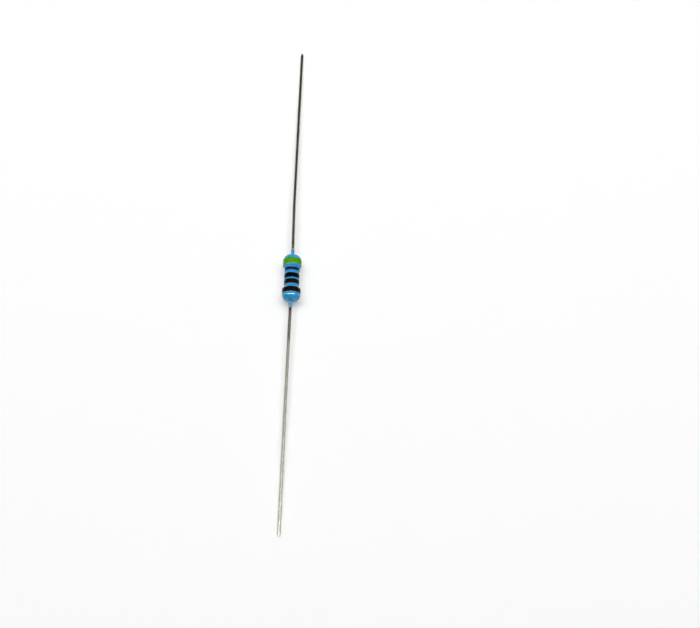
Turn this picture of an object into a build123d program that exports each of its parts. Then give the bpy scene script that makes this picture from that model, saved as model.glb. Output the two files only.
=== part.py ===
from build123d import *
import os
from math import atan, cos, sqrt, tan

# Axial metal film resistor, quarter watt, with five colour bands, lying on a surface.
# Millimetres. The body's centre is the origin, its axis runs along X and +Z is up.
# The first band is at the +X end, so the value reads from +X to -X.

# Ceramic rod and the metal film on it
core_diameter = 1.52
core_length = 4.60
core_edge_room = 0.02        # the rod's chamfer goes this much further than the cap's inner corner
film_thickness = 0.03        # far thicker than the real film, so that it is a solid
groove_width = 0.12
groove_pitch = 0.52
groove_end_room = 0.16       # unbroken film left between the spiral groove and each cap

# Pressed steel end caps
cap_wall = 0.20
cap_length = 0.98
cap_corner = 0.24            # bevel between the cap's side and its flat end

# Tinned wire leads
wire_diameter = 0.38
lead_reach = 31.2            # from the body's centre to each cut tip
weld_diameter = 0.72         # upset head where the wire is butt welded to the cap
weld_height = 0.16
weld_edge = 0.05
lead_straight = 0.20         # straight wire past the lacquer, before the first bend
bend_radius = 20.0           # bend that lets the wire down to the surface
knee_radius = 200.0          # long soft bend between the wire's two runs
tip_chamfer = 0.04

# How the two wires lie: place of the knee along X, and how far aside knee and tip are
first_knee_reach, first_knee_aside, first_tip_aside = 9.5, 0.035, -0.24
last_knee_reach, last_knee_aside, last_tip_aside = 12.5, 0.135, 0.39
knee_lift = 0.03             # the knee stays this far above the straight line to the tip

# Lacquer over everything but the bare wire
waist_coat = 0.09
cap_coat = 0.10
first_end_coat = 0.43        # height of the lacquer over the first cap's flat end
last_end_coat = 0.43
dome_flat = 0.01             # flat ring left between a dome's arc and its neck
first_rim_coat = 0.07        # the slope at the first cap's rim starts this far in front of it
last_rim_coat = 0.01
shoulder_run = 0.24          # length of the slope from a cap down to the waist
shoulder_round = 0.15
first_neck_coat = 0.015      # thin skin drawn out along the first wire
first_neck_length = 0.84
first_neck_taper = 0.08
last_neck_coat = 0.06        # thicker bead around the last wire
last_neck_length = 0.89
last_neck_taper = 0.34
last_neck_flare = 0.16       # the bead widens by this where it meets the dome

# Colour bands: middle along X, and width
paint_thickness = 0.02
green_middle, green_width = 1.88, 0.75
blue_middle, blue_width = 0.945, 0.36
black_middle, black_width = 0.125, 0.52
multiplier_middle, multiplier_width = -0.665, 0.51
tolerance_middle, tolerance_width = -1.785, 0.58

# Sizes that follow from those above
core_radius = core_diameter / 2
film_radius = core_radius + film_thickness
cap_radius = film_radius + cap_wall
cap_face = core_length / 2 + cap_wall
cap_rim = cap_face - cap_length
cap_inner_corner = cap_corner - (2 - sqrt(2)) * cap_wall    # keeps the wall even round the bevel
core_chamfer = cap_inner_corner + core_edge_room
wire_radius = wire_diameter / 2
weld_radius = weld_diameter / 2
cap_coat_radius = cap_radius + cap_coat
waist_coat_radius = film_radius + waist_coat
first_end = cap_face + first_end_coat
last_end = cap_face + last_end_coat
first_neck_end = first_end + first_neck_length
last_neck_end = last_end + last_neck_length
floor_z = -(cap_coat_radius + paint_thickness)


def turned(*corners):
    """Turn a closed outline about the X axis. Each corner is (x, radius)."""
    outline = Plane.XZ * Polyline(*corners, close=True)
    return revolve(make_face(outline), Axis.X)


def ceramic_core():
    """Alumina rod with chamfered edges."""
    half = core_length / 2
    return turned(
        (-half, 0),
        (-half, core_radius - core_chamfer),
        (-half + core_chamfer, core_radius),
        (half - core_chamfer, core_radius),
        (half, core_radius - core_chamfer),
        (half, 0),
    )


def resistive_film():
    """Metal film around the rod, cut by the spiral groove that sets the value."""
    half = core_length / 2 - core_chamfer
    sleeve = turned((-half, core_radius), (-half, film_radius), (half, film_radius), (half, core_radius))
    groove_half = cap_rim - groove_end_room - groove_width / 2
    spiral = Helix(groove_pitch, 2 * groove_half, (core_radius + film_radius) / 2)
    cutter_depth = 3 * film_thickness
    cutter_end = Plane(origin=spiral @ 0, x_dir=(1, 0, 0), z_dir=spiral % 0)
    cutter = sweep(cutter_end * Rectangle(cutter_depth, groove_width), spiral, is_frenet=True)
    return sleeve - Rot(0, 90, 0) * Pos(0, 0, -groove_half) * cutter


def end_cap(side):
    """Drawn steel cup pressed over the rod's end on one side, +1 or -1."""
    inner_face = core_length / 2
    return turned(
        (side * cap_rim, film_radius),
        (side * cap_rim, cap_radius),
        (side * (cap_face - cap_corner), cap_radius),
        (side * cap_face, cap_radius - cap_corner),
        (side * cap_face, 0),
        (side * inner_face, 0),
        (side * inner_face, film_radius - cap_inner_corner),
        (side * (inner_face - cap_inner_corner), film_radius),
    )


def wire_line(side, neck_end, knee_reach, knee_aside, tip_aside):
    """Centre line of one wire: out of the cap, down to the knee, on to the tip."""
    drop = -(floor_z + wire_radius)
    slope = atan(drop / (lead_reach - neck_end))
    bend_x = neck_end + lead_straight + bend_radius * tan(slope / 2)
    tip_z = floor_z + wire_radius * cos(slope)
    knee_z = tip_z * (knee_reach - bend_x) / (lead_reach - bend_x) + knee_lift
    return FilletPolyline(
        (side * cap_face, 0, 0),
        (side * bend_x, 0, 0),
        (side * knee_reach, knee_aside, knee_z),
        (side * lead_reach, tip_aside, tip_z),
        radius=[bend_radius, knee_radius],
    )


def lead(side, line):
    """Tinned wire along its centre line, with the upset head that is welded to the cap."""
    section = Plane(origin=line @ 0, z_dir=(side, 0, 0)) * Circle(wire_radius)
    wire = sweep(section, line)
    rims = wire.edges().filter_by(GeomType.CIRCLE).sort_by(lambda edge: side * edge.center().X)
    wire = chamfer(rims[-1], tip_chamfer)
    head = turned(
        (side * cap_face, 0),
        (side * cap_face, weld_radius),
        (side * (cap_face + weld_edge), weld_radius),
        (side * (cap_face + weld_height), wire_radius),
        (side * (cap_face + weld_height), 0),
    )
    return wire + head


def coat_outline():
    """Half outline of the lacquered body: neck, dome, cap, waist, cap, dome and neck."""
    first_neck = wire_radius + first_neck_coat
    last_neck = wire_radius + last_neck_coat
    first_dome = cap_coat_radius - first_neck - dome_flat
    last_dome = cap_coat_radius - last_neck - last_neck_flare - dome_flat
    first_slope = cap_rim - first_rim_coat
    last_slope = cap_rim - last_rim_coat
    # Each corner is (x, radius, rounding)
    corners = [
        (first_neck_end, 0, 0),
        (first_neck_end, wire_radius, 0),
        (first_neck_end - first_neck_taper, first_neck, 0),
        (first_end, first_neck, 0),
        (first_end, cap_coat_radius, first_dome),
        (first_slope, cap_coat_radius, shoulder_round),
        (first_slope - shoulder_run, waist_coat_radius, shoulder_round),
        (-last_slope + shoulder_run, waist_coat_radius, shoulder_round),
        (-last_slope, cap_coat_radius, shoulder_round),
        (-last_end, cap_coat_radius, last_dome),
        (-last_end, last_neck + last_neck_flare, 0),
        (-last_end - last_neck_flare, last_neck, 0),
        (-last_neck_end + last_neck_taper, last_neck, 0),
        (-last_neck_end, wire_radius, 0),
        (-last_neck_end, 0, 0),
    ]
    points = [(x, radius) for x, radius, rounding in corners]
    roundings = [rounding for x, radius, rounding in corners]
    return make_face(FilletPolyline(*points, radius=roundings, close=True))


def lacquer_coat(outline, covered):
    """Lacquer shell: the turned outline, less the pieces that it covers."""
    coat = revolve(Plane.XZ * outline, Axis.X)
    coat -= Rot(0, 90, 0) * Cylinder(film_radius, core_length)
    for piece in covered:
        coat -= piece
    return coat


def colour_band(outline, middle, width):
    """Ring of paint that follows the lacquer's surface, dome and shoulder included."""
    skin = offset(outline, paint_thickness) - outline
    strip = Pos(middle, cap_radius) * Rectangle(width, 2 * cap_radius)
    return revolve(Plane.XZ * (skin & strip), Axis.X)


def main():
    first_wire = wire_line(1, first_neck_end, first_knee_reach, first_knee_aside, first_tip_aside)
    last_wire = wire_line(-1, last_neck_end, last_knee_reach, last_knee_aside, last_tip_aside)
    outline = coat_outline()
    parts = {
        "ceramic_core": ceramic_core(),
        "resistive_film": resistive_film(),
        "first_end_cap": end_cap(1),
        "last_end_cap": end_cap(-1),
        "first_lead": lead(1, first_wire),
        "last_lead": lead(-1, last_wire),
        "band_green": colour_band(outline, green_middle, green_width),
        "band_blue": colour_band(outline, blue_middle, blue_width),
        "band_black": colour_band(outline, black_middle, black_width),
        "band_brown_multiplier": colour_band(outline, multiplier_middle, multiplier_width),
        "band_brown_tolerance": colour_band(outline, tolerance_middle, tolerance_width),
    }
    covered = [parts[name] for name in ("first_end_cap", "last_end_cap", "first_lead", "last_lead")]
    parts["lacquer_coat"] = lacquer_coat(outline, covered)
    os.makedirs("parts", exist_ok=True)
    for name, solid in parts.items():
        export_step(solid, f"parts/{name}.step")


main()
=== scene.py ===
from bisect import bisect
from math import atan, atan2, cos, pi, radians, sin, sqrt, tan

import bmesh
import bpy
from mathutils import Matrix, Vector, noise


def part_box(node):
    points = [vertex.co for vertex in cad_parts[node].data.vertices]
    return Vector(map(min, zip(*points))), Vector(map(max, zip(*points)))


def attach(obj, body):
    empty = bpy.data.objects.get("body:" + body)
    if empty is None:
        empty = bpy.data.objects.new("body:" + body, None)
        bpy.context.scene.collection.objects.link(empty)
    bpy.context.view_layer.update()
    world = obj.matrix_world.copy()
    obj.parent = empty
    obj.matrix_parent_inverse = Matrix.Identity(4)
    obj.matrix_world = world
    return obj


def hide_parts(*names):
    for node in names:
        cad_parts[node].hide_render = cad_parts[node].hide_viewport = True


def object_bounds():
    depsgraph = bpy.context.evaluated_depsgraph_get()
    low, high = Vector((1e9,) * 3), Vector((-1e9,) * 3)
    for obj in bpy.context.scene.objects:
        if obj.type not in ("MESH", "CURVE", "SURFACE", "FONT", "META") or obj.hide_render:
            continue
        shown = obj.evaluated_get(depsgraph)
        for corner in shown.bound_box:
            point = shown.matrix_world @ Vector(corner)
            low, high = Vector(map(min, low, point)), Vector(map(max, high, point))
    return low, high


# Quarter watt axial resistor lying on a white table. Metres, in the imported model's frame: X is
# the body's axis, with the first band at its +X end, and +Z is up.

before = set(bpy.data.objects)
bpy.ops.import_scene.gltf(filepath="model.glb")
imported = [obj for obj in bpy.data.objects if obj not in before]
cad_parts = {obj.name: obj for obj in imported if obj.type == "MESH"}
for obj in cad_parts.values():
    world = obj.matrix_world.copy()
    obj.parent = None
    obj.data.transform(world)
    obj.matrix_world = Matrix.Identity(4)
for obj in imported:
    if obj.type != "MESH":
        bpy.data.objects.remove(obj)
cad_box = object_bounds()

MM = 0.001
MICRON = 0.001 * MM

# Places along X and the table's height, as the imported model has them
cap_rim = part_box("first_end_cap")[0].x
cap_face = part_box("first_end_cap")[1].x
first_neck_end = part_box("lacquer_coat")[1].x
last_neck_end = -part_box("lacquer_coat")[0].x
first_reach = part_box("first_lead")[1].x
last_reach = -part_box("last_lead")[0].x
table_z = cad_box[0].z

# Metal parts inside the lacquer
film_radius = 0.79 * MM
cap_radius = 0.99 * MM
cap_corner = 0.24 * MM
weld_radius = 0.36 * MM
weld_height = 0.16 * MM
weld_edge = 0.05 * MM

# Tinned wires
wire_radius = 0.19 * MM
lead_straight = 0.20 * MM
bend_radius = 20 * MM
knee_radius = 200 * MM
knee_lift = 0.03 * MM
first_knee_reach, first_knee_aside, first_tip_aside = 9.5 * MM, 0.035 * MM, -0.24 * MM
last_knee_reach, last_knee_aside, last_tip_aside = 12.5 * MM, 0.135 * MM, 0.39 * MM
wire_ring_gap = 0.16 * MM        # distance between the wire's rings of points
tip_ring_gap = 0.03 * MM         # the same near the tip
ring_room = 0.01 * MM            # least distance between the two kinds of ring
wire_unevenness = 2.5 * MICRON   # how far the tin's surface stands in or out
wire_bump_length = 0.9 * MM
wire_bump_width = 0.3 * MM
nip_length = 0.34 * MM           # stretch at the tip that the cutters squeezed
nip_squeeze = 0.30               # share of the wire's width lost there
nip_ridge = 0.07 * MM            # how far the middle of the cut end stands out
tip_edge = 0.02 * MM

# Lacquer
cap_coat_radius = 1.09 * MM
waist_coat_radius = 0.88 * MM
first_end = first_neck_end - 0.84 * MM
last_end = last_neck_end - 0.89 * MM
first_rim_coat = 0.11 * MM
last_rim_coat = 0.01 * MM
first_shoulder_run = 0.17 * MM
last_shoulder_run = 0.24 * MM
shoulder_round = 0.15 * MM
first_neck = wire_radius + 0.015 * MM
first_neck_taper = 0.08 * MM
first_meniscus = 0.07 * MM
last_neck = wire_radius + 0.05 * MM
last_neck_taper = 0.34 * MM
last_neck_round = 0.45 * MM
last_meniscus = 0.225 * MM
last_neck_aside = 0.06 * MM      # the last wire is welded this far off the cap's middle
aside_start = 2.75 * MM          # it moves off between these distances from the body's middle
aside_end = 3.25 * MM
coat_unevenness = 6 * MICRON     # how far its surface stands in or out, in slow and fine swells
slow_swell, slow_swell_seed = 1.6 * MM, Vector((3.1, 0.7, 5.3))
fine_swell, fine_swell_seed = 0.64 * MM, Vector((8.2, 2.9, 1.4))
fine_swell_share = 0.3
skin_gap = 0.05 * MM             # distance between points along the lacquer's outline

# Ragged ends of the lacquer on the wires
neck_edge_wave = 0.14 * MM       # how far they run in and out
slow_notches, fine_notches = 1.3, 4.1    # how often they do so around the wire
fine_notch_share = 0.4
first_neck_seed, last_neck_seed = 4.0, 9.0

# Printed bands
paint_thickness = 0.02 * MM
paint_sunk = 0.006 * MM          # how far a band's inner face lies under the lacquer's skin
paint_edge = 0.07 * MM           # width of a band's rounded edge
paint_wave = 0.030 * MM          # how far a band's edge runs in and out
wave_turns, wave_side_seed = 1.1, 2.7
fine_wave_turns, fine_wave_share = 4, 0.35
paint_gap = 0.02 * MM            # distance between points across a band

# Piece, CAD node, slot, and how far its print has run towards the first and the last end
bands = [
    ("green_band", "band_green", "green_paint", 0, 0),
    ("dark_blue_band", "band_blue", "dark_blue_paint", 0.025 * MM, 0.035 * MM),
    ("black_band", "band_black", "black_paint", 0, 0.075 * MM),
    ("brown_band", "band_brown_multiplier", "brown_paint", 0.01 * MM, 0.055 * MM),
    ("brown_tolerance_band", "band_brown_tolerance", "brown_paint", 0.02 * MM, 0.045 * MM),
]

# Each paint's deepest and palest colour, and how much the lacquer shows through at a band's edges
paints = {
    "green_paint": ((0.075, 0.33, 0.001, 1), (0.105, 0.39, 0.001, 1), 0.7),
    "dark_blue_paint": ((0.006, 0.010, 0.10, 1), (0.010, 0.02, 0.14, 1), 0.5),
    "black_paint": ((0.0015, 0.0015, 0.0015, 1), (0.003, 0.003, 0.003, 1), 0.3),
    "brown_paint": ((0.010, 0.002, 0.001, 1), (0.020, 0.004, 0.002, 1), 0.3),
}

# Finish of the paint. Sizes are those of its patterns, and a scale squeezes one along X, Y and Z
paint_over_lacquer = (0.03, 0.22, 0.38, 1)
paint_streaks, paint_streak_scale = 0.14 * MM, (2.2, 0.5, 0.5)
paint_blotches = 0.40 * MM
paint_grain = 0.09 * MM
paint_contrast = 0.35, 0.65      # the paint turns from deep to pale between these levels of its pattern
paint_thin_start, paint_thin_end, paint_thin_waver = 0.015 * MM, 0.05 * MM, 0.05 * MM
paint_roughness, streak_roughness, blotch_roughness = 0.10, 0.10, 0.12
paint_specular = 0.06
paint_relief = 2.0 * MICRON

# Finish of the lacquer
lacquer_deep, lacquer_pale = (0.020, 0.305, 0.62, 1), (0.030, 0.36, 0.71, 1)
lacquer_clouds = 0.9 * MM
lacquer_streaks, lacquer_streak_scale = 0.12 * MM, (0.4, 1, 1)
lacquer_roughness = 0.09, 0.15
lacquer_ior = 1.45
lacquer_peel, lacquer_grit, grit_share = 0.34 * MM, 0.05 * MM, 0.06
lacquer_relief = 2.0 * MICRON

# Lacquer that thins out along the wires, from the body's ends on
lacquer_thin = (0.14, 0.31, 0.42, 1)
first_thin_start, first_thin_end, first_thin_share = 0.05 * MM, 0.5 * MM, 0.75
last_thin_start, last_thin_end, last_thin_share = 0.15 * MM, 0.7 * MM, 0.85
thin_waver = 0.3 * MM

# The last film of it, from before the necks' ends to past them, where the tin shows through
lacquer_film = (0.36, 0.38, 0.35, 1)
first_film_start, last_film_start, film_end = 0.20 * MM, 0.25 * MM, 0.10 * MM
film_share = 0.85
film_waver = 0.15 * MM

# Finish of the tin, with painted shade: its colour is darkened for a few millimetres past the last neck
tin_dark, tin_pale, tin_painted_shade = (0.30, 0.305, 0.255, 1), (0.50, 0.505, 0.44, 1), (0.12, 0.12, 0.10, 1)
tin_lines, tin_line_scale = 0.025 * MM, (0.03, 1, 1)
tin_patches, tin_patch_scale = 0.22 * MM, (0.35, 1, 1)
tin_roughness = 0.14, 0.30
tin_patch_relief, tin_relief = 0.6, 1.6 * MICRON
# Painted shade on the tin near the last neck: how much of the darker colour is mixed in, and where it fades
# out
painted_shade_share = 0.65
painted_shade_end, painted_shade_fade, painted_shade_waver = 5.0 * MM, 3.8 * MM, 0.8 * MM    # it fades from the second to the first

# Finishes of the pieces inside
alumina_dark, alumina_pale = (0.80, 0.78, 0.72, 1), (0.90, 0.88, 0.83, 1)
alumina_grain, alumina_roughness, alumina_relief = 0.04 * MM, (0.62, 0.82), 3.0 * MICRON
film_dark, film_pale = (0.17, 0.17, 0.18, 1), (0.27, 0.26, 0.26, 1)
film_clouds, film_cloud_scale = 0.3 * MM, (1, 1, 1)
film_roughness, film_relief = (0.24, 0.38), 0.5 * MICRON
steel_dark, steel_pale = (0.52, 0.52, 0.50, 1), (0.68, 0.68, 0.66, 1)
steel_lines, steel_line_scale = 0.05 * MM, (0.06, 1, 1)
steel_roughness, steel_relief = (0.26, 0.42), 1.0 * MICRON

# Table. Past the resistor it glows slightly more, so that it looks white up to the horizon
table_half = 1.5
table_white = (0.75, 0.755, 0.75, 1)
table_roughness, table_specular = 0.9, 0.1
near_glow, far_glow = 0.28, 0.94
glow_start, glow_end = 0.10, 0.50

# Room. Places in it are given by the x or z of the direction towards them
arch_fade_in, arch_fade_out = (0.10, 0.15), (0.33, 0.285)
dim_ceiling, arch_light = (0.025, 0.025, 0.023, 1), (0.78, 0.78, 0.76, 1)
horizon_fade = 0.02, 0.14
horizon_grey, horizon_mirrored = (0.18, 0.18, 0.18, 1), (0.93, 0.93, 0.93, 1)
backdrop_white = (0.96, 0.96, 0.96, 1)

# Lamps: name, lean, distance, size along X and Y, brightness, and whether glossy pieces mirror it
# and it lights nothing else
lamps = [
    ("overhead_softbox", radians(20), 0.42, (0.24, 0.60), 3.35, False),
    ("fill_softbox", radians(-70), 0.45, (0.30, 0.40), 0.92, False),
    ("strip_highlight", radians(-7), 0.45, (0.08, 1.50), 27.0, True),
]
lamp_power = 4                   # per square metre of a lamp, at a brightness of 1

# Camera: its place, the point on the table that it is aimed at, and its lens
camera_eye = Vector((-79.51, -8.55, 182.83)) * MM
camera_aim = Vector((-4.04 * MM, -7.00 * MM, table_z))
camera_lens, camera_sensor = 86.3, 36
camera_clip_start = 0.01

# How finely shapes are divided
around_coat = 128
around_wire = 28
arc_step, least_arc_steps = 0.09, 3
slope_reach = 0.1 * MM           # a path's slope is taken this far to both sides
sharp_angle = 0.9                # edges that turn by more stay sharp
merge_distance = 0.01 * MICRON


# Outlines and paths

def spaced(start, end, gap):
    """Points on the straight run from start to end, without its end, about a gap apart."""
    count = max(1, round((end - start).length / gap))
    return [start.lerp(end, i / count) for i in range(count)]


def rounded_path(corners, gap):
    """Points along a line of (corner, rounding) pairs, with an arc at each rounded corner."""
    points = []
    here = Vector(corners[0][0])
    for (corner, rounding), (ahead, _) in zip(corners[1:-1], corners[2:]):
        corner = Vector(corner)
        coming = (corner - here).normalized()
        going = (Vector(ahead) - corner).normalized()
        turn = coming.angle(going)
        cut_back = rounding * tan(turn / 2)
        arc_start = corner - coming * cut_back
        points += spaced(here, arc_start, gap)
        here = arc_start
        if rounding:
            inward = (going - coming * going.dot(coming)).normalized()
            steps = max(least_arc_steps, round(rounding * turn / gap), round(turn / arc_step))
            for step in range(steps):
                angle = turn * step / steps
                points.append(arc_start + rounding * (coming * sin(angle) + inward * (1 - cos(angle))))
            here = corner + going * cut_back
    points += spaced(here, Vector(corners[-1][0]), gap)
    return points + [Vector(corners[-1][0])]


class Path:
    """A path that can be read at any X. It runs towards +X or -X all the way."""

    def __init__(self, points):
        self.points = sorted(points, key=lambda point: point.x)
        self.places = [point.x for point in self.points]

    def at(self, x):
        after = min(max(bisect(self.places, x), 1), len(self.points) - 1)
        start, end = self.points[after - 1], self.points[after]
        if end.x == start.x:
            return end
        return start.lerp(end, (x - start.x) / (end.x - start.x))

    def slope(self, x):
        return (self.at(x + slope_reach) - self.at(x - slope_reach)) / (2 * slope_reach)


def eased(share):
    """A share from 0 to 1 that leaves 0 and reaches 1 smoothly."""
    return share * share * (3 - 2 * share)


# Mesh helpers

def lathe(outline, around, closed, skin_count=0):
    """Turn an outline of (x, radius) points about the X axis, and mark those of its first points."""
    mesh = bmesh.new()
    skin = mesh.verts.layers.float.new("skin")
    corners = [mesh.verts.new((x, 0, radius)) for x, radius in outline]
    for corner in corners[:skin_count]:
        corner[skin] = 1
    runs = list(zip(corners, corners[1:]))
    if closed:
        runs.append((corners[-1], corners[0]))
    edges = [mesh.edges.new(run) for run in runs]
    bmesh.ops.spin(
        mesh,
        geom=corners + edges,
        cent=(0, 0, 0),
        axis=(1, 0, 0),
        dvec=(0, 0, 0),
        angle=2 * pi,
        steps=around,
        use_merge=True,
    )
    bmesh.ops.remove_doubles(mesh, verts=mesh.verts, dist=merge_distance)
    bmesh.ops.recalc_face_normals(mesh, faces=mesh.faces)
    return mesh


def finished(name, mesh, material, node):
    """Make a piece of the mesh that takes the place of one CAD node."""
    data = bpy.data.meshes.new(name)
    mesh.to_mesh(data)
    mesh.free()
    data.shade_smooth()
    data.set_sharp_from_angle(angle=sharp_angle)
    data.materials.append(material)
    piece = bpy.data.objects.new(name, data)
    bpy.context.scene.collection.objects.link(piece)
    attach(piece, "root")
    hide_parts(node)


# The lacquered body

def coat_corners():
    """Outline of the lacquer from the first neck to the last, as ((x, radius, 0), rounding)."""
    first_dome = cap_coat_radius - first_neck - first_meniscus
    last_dome = cap_coat_radius - last_neck - last_meniscus
    first_slope = cap_rim - first_rim_coat
    last_slope = cap_rim - last_rim_coat
    return [
        ((first_neck_end, wire_radius, 0), 0),
        ((first_neck_end - first_neck_taper, first_neck, 0), 0),
        ((first_end, first_neck, 0), first_meniscus),
        ((first_end, cap_coat_radius, 0), first_dome),
        ((first_slope, cap_coat_radius, 0), shoulder_round),
        ((first_slope - first_shoulder_run, waist_coat_radius, 0), shoulder_round),
        ((-last_slope + last_shoulder_run, waist_coat_radius, 0), shoulder_round),
        ((-last_slope, cap_coat_radius, 0), shoulder_round),
        ((-last_end, cap_coat_radius, 0), last_dome),
        ((-last_end, last_neck, 0), last_meniscus),
        ((-last_neck_end + last_neck_taper, last_neck, 0), last_neck_round),
        ((-last_neck_end, wire_radius, 0), 0),
    ]


def cavity_outline():
    """Inside of the lacquer, against the wires, the welded heads, the caps and the film."""
    half = [
        (cap_face + weld_height, wire_radius),
        (cap_face + weld_edge, weld_radius),
        (cap_face, weld_radius),
        (cap_face, cap_radius - cap_corner),
        (cap_face - cap_corner, cap_radius),
        (cap_rim, cap_radius),
        (cap_rim, film_radius),
    ]
    return [(-x, radius) for x, radius in half] + half[::-1]


def swollen(radius, x, angle):
    """Radius of the lacquer's surface at a place on the body, with its slow uneven swells."""
    place = Vector((x, cap_coat_radius * sin(angle), cap_coat_radius * cos(angle)))
    slow = noise.noise(place / slow_swell + slow_swell_seed)
    fine = noise.noise(place / fine_swell + fine_swell_seed)
    return radius + coat_unevenness * (slow + fine_swell_share * fine) * radius / cap_coat_radius


def ragged(x, angle):
    """How far the lacquer runs in or out along a wire: most at the neck's end, and none on the body."""
    if x > 0:
        end, neck_end, seed = first_end, first_neck_end, first_neck_seed
    else:
        end, neck_end, seed = -last_end, -last_neck_end, last_neck_seed
    along = max(0, (x - end) / (neck_end - end))
    turning = Vector((sin(angle), cos(angle), seed))
    notches = noise.noise(slow_notches * turning) + fine_notch_share * noise.noise(fine_notches * turning)
    return neck_edge_wave * along * along * notches


def aside(x):
    """How far the last wire and the lacquer around it stand off the axis at x."""
    return last_neck_aside * eased(min(1, max(0, (-x - aside_start) / (aside_end - aside_start))))


def lacquer(skin_points, material):
    """Lacquer shell over the caps, the film and the first stretch of each wire."""
    outline = [(point.x, point.y) for point in skin_points] + cavity_outline()
    mesh = lathe(outline, around_coat, closed=True, skin_count=len(skin_points))
    skin = mesh.verts.layers.float["skin"]
    for corner in mesh.verts:
        x, y, z = corner.co
        radius = sqrt(y * y + z * z)
        if corner[skin] and radius > wire_radius + MICRON:
            angle = atan2(y, z)
            radius = swollen(radius, x, angle)
            x += ragged(x, angle)
            y, z = radius * sin(angle), radius * cos(angle)
        corner.co = (x, y + aside(x), z)
    finished("lacquer", mesh, material, "lacquer_coat")


# Printed bands

def band_span(node, first_spread, last_spread):
    """Middle and half width of a band, whose print has run past the CAD ring at each edge."""
    low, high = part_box(node)
    start, end = low.x - last_spread, high.x + first_spread
    return (start + end) / 2, (end - start) / 2


def edge_wave(name, side, angle):
    """How far one edge of a band runs in or out at an angle round the body."""
    seed = len(name) + wave_side_seed * side
    turning = Vector((wave_turns * sin(angle), wave_turns * cos(angle), seed))
    return paint_wave * (noise.noise(turning) + fine_wave_share * noise.noise(turning * fine_wave_turns))


def band(name, node, skin, middle, half, material):
    """Ring of paint that follows the lacquer, with rounded edges that run slightly uneven."""
    count = round(2 * half / paint_gap)
    top = []
    for i in range(count + 1):
        offset = half * (2 * i / count - 1)
        room_left = min(1, (half - abs(offset)) / paint_edge)
        height = paint_thickness * sqrt(1 - (1 - room_left) ** 2)
        top.append((middle + offset, height))
    under = [(x, -paint_sunk) for x, _ in reversed(top[1:-1])]
    outline = [(x, skin.at(x).y + height) for x, height in top + under]
    mesh = lathe(outline, around_coat, closed=True)
    for corner in mesh.verts:
        x, y, z = corner.co
        angle = atan2(y, z)
        height = sqrt(y * y + z * z) - skin.at(x).y
        across = (x - middle) / half
        x += edge_wave(name, 1 if across > 0 else -1, angle) * across * across
        radius = swollen(skin.at(x).y, x, angle) + height
        corner.co = (x, radius * sin(angle), radius * cos(angle))
    finished(name, mesh, material, node)


# Wires

def wire_path(side, neck_end, reach, knee_reach, knee_aside, tip_aside):
    """Centre line of one wire: out of the cap, down to the knee, on to the tip."""
    drop = -(table_z + wire_radius)
    slope = atan(drop / (reach - neck_end))
    bend_x = neck_end + lead_straight + bend_radius * tan(slope / 2)
    tip_z = table_z + wire_radius * cos(slope)
    knee_z = tip_z * (knee_reach - bend_x) / (reach - bend_x) + knee_lift
    corners = [
        ((side * cap_face, 0, 0), 0),
        ((side * bend_x, 0, 0), bend_radius),
        ((side * knee_reach, knee_aside, knee_z), knee_radius),
        ((side * reach, tip_aside, tip_z), 0),
    ]
    return Path(rounded_path(corners, wire_ring_gap))


def wire_outline(reach):
    """Outline of a straight wire with its welded head: rings of points, close together at the tip."""
    head = [
        (cap_face, 0),
        (cap_face, weld_radius),
        (cap_face + weld_edge, weld_radius),
        (cap_face + weld_height, wire_radius),
    ]
    start = Vector((cap_face + weld_height, wire_radius, 0))
    end = Vector((reach - tip_edge, wire_radius, 0))
    nip_start = end - Vector((nip_length, 0, 0))
    rings = [ring for ring in spaced(start, end, wire_ring_gap)[1:] if ring.x < nip_start.x - ring_room]
    shank = [(ring.x, ring.y) for ring in rings + spaced(nip_start, end, tip_ring_gap)]
    cut_end = [
        (reach - tip_edge, wire_radius),
        (reach, wire_radius - tip_edge),
        (reach, wire_radius / 2),
        (reach, 0),
    ]
    return head + shank + cut_end


def wire(name, node, side, path, reach, material):
    """Tinned wire with its welded head, bent along its path and nipped off at the tip."""
    mesh = lathe([(side * x, radius) for x, radius in wire_outline(reach)], around_wire, closed=False)
    for corner in mesh.verts:
        x, y, z = corner.co
        out = abs(x)
        if out > first_neck_end:
            place = Vector((x / wire_bump_length, y / wire_bump_width, z / wire_bump_width))
            scale = 1 + wire_unevenness / wire_radius * noise.noise(place)
            y, z = y * scale, z * scale
        ridge = nip_ridge * abs(y) / wire_radius if out > reach - 2 * tip_edge else 0
        y *= 1 - nip_squeeze * eased(max(0, (out - reach + nip_length) / nip_length))
        middle = path.at(x)
        slope = path.slope(x)
        place = Vector((x - side * ridge, middle.y + aside(x), middle.z))
        corner.co = place + y * Vector((-slope.y, 1, 0)) + z * Vector((-slope.z, 0, 1))
    bmesh.ops.recalc_face_normals(mesh, faces=mesh.faces)
    finished(name, mesh, material, node)


# Materials

class Socket:
    """An output of a shader node. Arithmetic on it adds Math nodes."""

    def __init__(self, shader, socket):
        self.shader = shader
        self.socket = socket

    def __add__(self, other):
        return self.shader.math("ADD", self, other)

    def __radd__(self, other):
        return self.shader.math("ADD", other, self)

    def __sub__(self, other):
        return self.shader.math("SUBTRACT", self, other)

    def __rsub__(self, other):
        return self.shader.math("SUBTRACT", other, self)

    def __mul__(self, other):
        return self.shader.math("MULTIPLY", self, other)

    def __rmul__(self, other):
        return self.shader.math("MULTIPLY", other, self)

    def __abs__(self):
        return self.shader.math("ABSOLUTE", self, 0)


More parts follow.
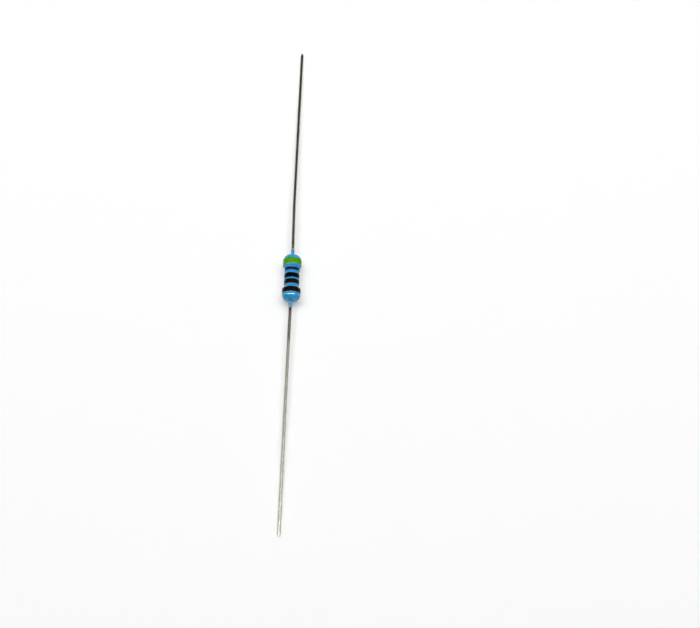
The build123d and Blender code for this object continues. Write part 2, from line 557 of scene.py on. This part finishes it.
class Shader:
    """The node tree of one material or of the world."""

    def __init__(self, owner):
        owner.use_nodes = True
        self.tree = owner.node_tree
        self.tree.nodes.clear()

    def add(self, kind, settings=None, inputs=None, output=0):
        """Add a node of a kind, with its settings first, then the values or links of its sockets."""
        node = self.tree.nodes.new(kind)
        for name, value in (settings or {}).items():
            setattr(node, name, value)
        for name, value in (inputs or {}).items():
            if isinstance(value, Socket):
                self.tree.links.new(value.socket, node.inputs[name])
            else:
                node.inputs[name].default_value = value
        return Socket(self, node.outputs[output]) if node.outputs else None

    def math(self, operation, left, right):
        return self.add("ShaderNodeMath", {"operation": operation}, {0: left, 1: right})

    def ramp(self, value, start, end):
        """A smooth mask: 0 where the value is at start, 1 where it is at end."""
        return self.add(
            "ShaderNodeMapRange",
            {"interpolation_type": "SMOOTHSTEP"},
            {"Value": value, "From Min": start, "From Max": end},
        )

    def mix(self, factor, first, second):
        """Colour between the first, at factor 0, and the second, at factor 1."""
        settings = {"data_type": "RGBA", "clamp_factor": True}
        return self.add("ShaderNodeMix", settings, {0: factor, 6: first, 7: second}, output=2)

    def place(self):
        return self.add("ShaderNodeTexCoord", output="Object")

    def split(self, vector):
        """The three numbers of a vector."""
        node = self.add("ShaderNodeSeparateXYZ", inputs={0: vector}).socket.node
        return [Socket(self, output) for output in node.outputs]

    def scaled(self, vector, scale):
        return self.add("ShaderNodeMapping", inputs={"Vector": vector, "Scale": scale})

    def noise(self, vector, size, detail=3.0):
        """Soft random pattern with features of about a size in metres."""
        inputs = {"Vector": vector, "Scale": 1 / size, "Detail": detail, "Roughness": 0.5}
        return self.add("ShaderNodeTexNoise", {"normalize": True}, inputs)

    def bump(self, height, depth):
        """A normal from a height of 0 to 1 that stands for a depth in metres."""
        return self.add("ShaderNodeBump", inputs={"Strength": 1.0, "Distance": depth, "Height": height})

    def surface(self, inputs):
        principled = self.add("ShaderNodeBsdfPrincipled", inputs=inputs)
        self.add("ShaderNodeOutputMaterial", inputs={"Surface": principled})


def between(limits, share):
    """Value between two limits, at a share of the way from the first to the second."""
    low, high = limits
    return low + (high - low) * share


def new_shader(name):
    material = bpy.data.materials.new(name)
    return material, Shader(material)


def lacquer_material():
    """Glossy blue lacquer, paler and greyer where it thins out along the wires."""
    material, shader = new_shader("blue_lacquer")
    place = shader.place()
    x, _, _ = shader.split(place)
    clouds = shader.noise(place, lacquer_clouds)
    colour = shader.mix(clouds, lacquer_deep, lacquer_pale)
    streaks = shader.noise(shader.scaled(place, lacquer_streak_scale), lacquer_streaks)

    waver = thin_waver * streaks
    first_thin = shader.ramp(x + waver, first_end + first_thin_start, first_end + first_thin_end)
    last_thin = shader.ramp(waver - x, last_end + last_thin_start, last_end + last_thin_end)
    thin = first_thin * first_thin_share + last_thin * last_thin_share
    colour = shader.mix(thin, colour, lacquer_thin)

    waver = film_waver * streaks
    first_film = shader.ramp(x + waver, first_neck_end - first_film_start, first_neck_end + film_end)
    last_film = shader.ramp(waver - x, last_neck_end - last_film_start, last_neck_end + film_end)
    colour = shader.mix(film_share * (first_film + last_film), colour, lacquer_film)

    peel = shader.noise(place, lacquer_peel, detail=1.0)
    grit = shader.noise(place, lacquer_grit)
    shader.surface(
        {
            "Base Color": colour,
            "Roughness": between(lacquer_roughness, clouds),
            "IOR": lacquer_ior,
            "Normal": shader.bump(peel + grit_share * grit, lacquer_relief),
        }
    )
    return material


def paint_material(name, middle, half, deep, pale, lacquer_shows):
    """Printed paint: satin, thinner at the band's edges, where the lacquer shows through."""
    material, shader = new_shader(name)
    place = shader.place()
    x, _, _ = shader.split(place)
    streaks = shader.noise(shader.scaled(place, paint_streak_scale), paint_streaks)
    blotches = shader.noise(place, paint_blotches, detail=2.0)
    from_middle = abs(x - middle) + paint_thin_waver * streaks
    edge = shader.ramp(from_middle, half - paint_thin_start, half + paint_thin_end)
    paint = shader.mix(shader.ramp(0.5 * (streaks + blotches), *paint_contrast), deep, pale)
    grain = shader.noise(place, paint_grain)
    shader.surface(
        {
            "Base Color": shader.mix(edge * lacquer_shows, paint, paint_over_lacquer),
            "Roughness": paint_roughness + streak_roughness * streaks + blotch_roughness * blotches,
            "Specular IOR Level": paint_specular,
            "Normal": shader.bump(grain + streaks, paint_relief),
        }
    )
    return material


def wire_material():
    """Tinned copper-clad wire: satin, with drawn lines and patches of duller tin, and painted shade that
    darkens it near the last neck.
    """
    material, shader = new_shader("tinned_wire")
    place = shader.place()
    lines = shader.noise(shader.scaled(place, tin_line_scale), tin_lines)
    patches = shader.noise(shader.scaled(place, tin_patch_scale), tin_patches)
    x, _, _ = shader.split(place)
    # Painted shade: the tin is darkened from the last neck to a few millimetres past it
    painted_shade = shader.ramp(painted_shade_waver * patches - x, last_neck_end + painted_shade_end, last_neck_end + painted_shade_fade)
    painted_shade = painted_shade * shader.ramp(x, 0, -MM)
    bright = shader.mix(patches, tin_dark, tin_pale)
    shader.surface(
        {
            "Base Color": shader.mix(painted_shade_share * painted_shade, bright, tin_painted_shade),
            "Metallic": 1.0,
            "Roughness": between(tin_roughness, patches),
            "Normal": shader.bump(lines + tin_patch_relief * patches, tin_relief),
        }
    )
    return material


def ceramic_material():
    """Fired alumina: matt off-white with fine grain."""
    material, shader = new_shader("alumina")
    grain = shader.noise(shader.place(), alumina_grain)
    shader.surface(
        {
            "Base Color": shader.mix(grain, alumina_dark, alumina_pale),
            "Roughness": between(alumina_roughness, grain),
            "Normal": shader.bump(grain, alumina_relief),
        }
    )
    return material


def metal_material(name, pattern_scale, pattern_size, dark, pale, roughness, relief):
    """Bare metal whose colour, gloss and relief follow one pattern."""
    material, shader = new_shader(name)
    pattern = shader.noise(shader.scaled(shader.place(), pattern_scale), pattern_size)
    shader.surface(
        {
            "Base Color": shader.mix(pattern, dark, pale),
            "Metallic": 1.0,
            "Roughness": between(roughness, pattern),
            "Normal": shader.bump(pattern, relief),
        }
    )
    return material


# Table, light and camera

def rays_of(shader):
    """Masks for what the camera sees, and for what glossy pieces mirror."""
    rays = shader.add("ShaderNodeLightPath").socket.node
    return [Socket(shader, rays.outputs[name]) for name in ("Is Camera Ray", "Is Glossy Ray")]


def table():
    """Matt white table top that the resistor lies on."""
    mesh = bmesh.new()
    bmesh.ops.create_grid(mesh, x_segments=1, y_segments=1, size=table_half)
    bmesh.ops.translate(mesh, vec=(0, 0, table_z), verts=mesh.verts)
    data = bpy.data.meshes.new("table")
    mesh.to_mesh(data)
    mesh.free()
    material, shader = new_shader("white_table")
    seen, mirrored = rays_of(shader)
    x, y, _ = shader.split(shader.place())
    far = shader.ramp(x * x + y * y, glow_start**2, glow_end**2)
    shader.surface(
        {
            "Base Color": table_white,
            "Roughness": table_roughness,
            "Specular IOR Level": table_specular,
            "Emission Color": (1, 1, 1, 1),
            "Emission Strength": between((near_glow, far_glow), far) * (seen + mirrored),
        }
    )
    data.materials.append(material)
    floor = bpy.data.objects.new("table", data)
    bpy.context.scene.collection.objects.link(floor)


def room():
    """Dim room under a pale arch of light from side to side, which the wires and the lacquer mirror."""
    world = bpy.data.worlds.new("room")
    bpy.context.scene.world = world
    shader = Shader(world)
    towards = shader.add("ShaderNodeTexCoord", output="Generated")
    x, _, z = shader.split(towards)
    arch = shader.ramp(x, *arch_fade_in) * shader.ramp(x, *arch_fade_out)
    overhead = shader.mix(arch, dim_ceiling, arch_light)
    seen, mirrored = rays_of(shader)
    horizon = shader.mix(mirrored, horizon_grey, horizon_mirrored)
    around = shader.mix(shader.ramp(z, *horizon_fade), horizon, overhead)
    around = shader.mix(seen, around, backdrop_white)
    background = shader.add("ShaderNodeBackground", inputs={"Color": around, "Strength": 1.0})
    shader.add("ShaderNodeOutputWorld", inputs={"Surface": background})


def softbox(name, lean, distance, size, brightness, mirrored):
    """Rectangular lamp aimed at the resistor, leaning from overhead towards +X."""
    lamp = bpy.data.lights.new(name, "AREA")
    lamp.shape = "RECTANGLE"
    lamp.size, lamp.size_y = size
    lamp.energy = brightness * lamp_power * size[0] * size[1]
    holder = bpy.data.objects.new(name, lamp)
    holder.location = (distance * sin(lean), 0, distance * cos(lean))
    holder.rotation_euler = (0, lean, 0)
    holder.visible_diffuse = not mirrored
    holder.visible_glossy = mirrored
    bpy.context.scene.collection.objects.link(holder)


def camera():
    """Camera at the photograph's place."""
    data = bpy.data.cameras.new("camera")
    data.lens = camera_lens
    data.sensor_width = camera_sensor
    data.clip_start = camera_clip_start
    holder = bpy.data.objects.new("camera", data)
    holder.location = camera_eye
    holder.rotation_mode = "QUATERNION"
    holder.rotation_quaternion = (camera_aim - camera_eye).to_track_quat("-Z", "Y")
    bpy.context.scene.collection.objects.link(holder)
    bpy.context.scene.camera = holder


def main():
    camera()
    table()
    room()
    for lamp in lamps:
        softbox(*lamp)
    bpy.context.scene.view_settings.view_transform = "Standard"

    skin_points = rounded_path(coat_corners(), skin_gap)
    skin = Path(skin_points)
    lacquer(skin_points, lacquer_material())
    for name, node, slot, first_spread, last_spread in bands:
        middle, half = band_span(node, first_spread, last_spread)
        paint = paint_material(name, middle, half, *paints[slot])
        band(name, node, skin, middle, half, paint)

    tin = wire_material()
    first = wire_path(1, first_neck_end, first_reach, first_knee_reach, first_knee_aside, first_tip_aside)
    last = wire_path(-1, last_neck_end, last_reach, last_knee_reach, last_knee_aside, last_tip_aside)
    wire("first_wire", "first_lead", 1, first, first_reach, tin)
    wire("last_wire", "last_lead", -1, last, last_reach, tin)

    film = metal_material(
        "metal_film", film_cloud_scale, film_clouds, film_dark, film_pale, film_roughness, film_relief
    )
    steel = metal_material(
        "plated_steel", steel_line_scale, steel_lines, steel_dark, steel_pale, steel_roughness, steel_relief
    )
    inner = {
        "ceramic_core": ceramic_material(),
        "resistive_film": film,
        "first_end_cap": steel,
        "last_end_cap": steel,
    }
    for node, material in inner.items():
        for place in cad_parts[node].material_slots:
            place.material = material


main()
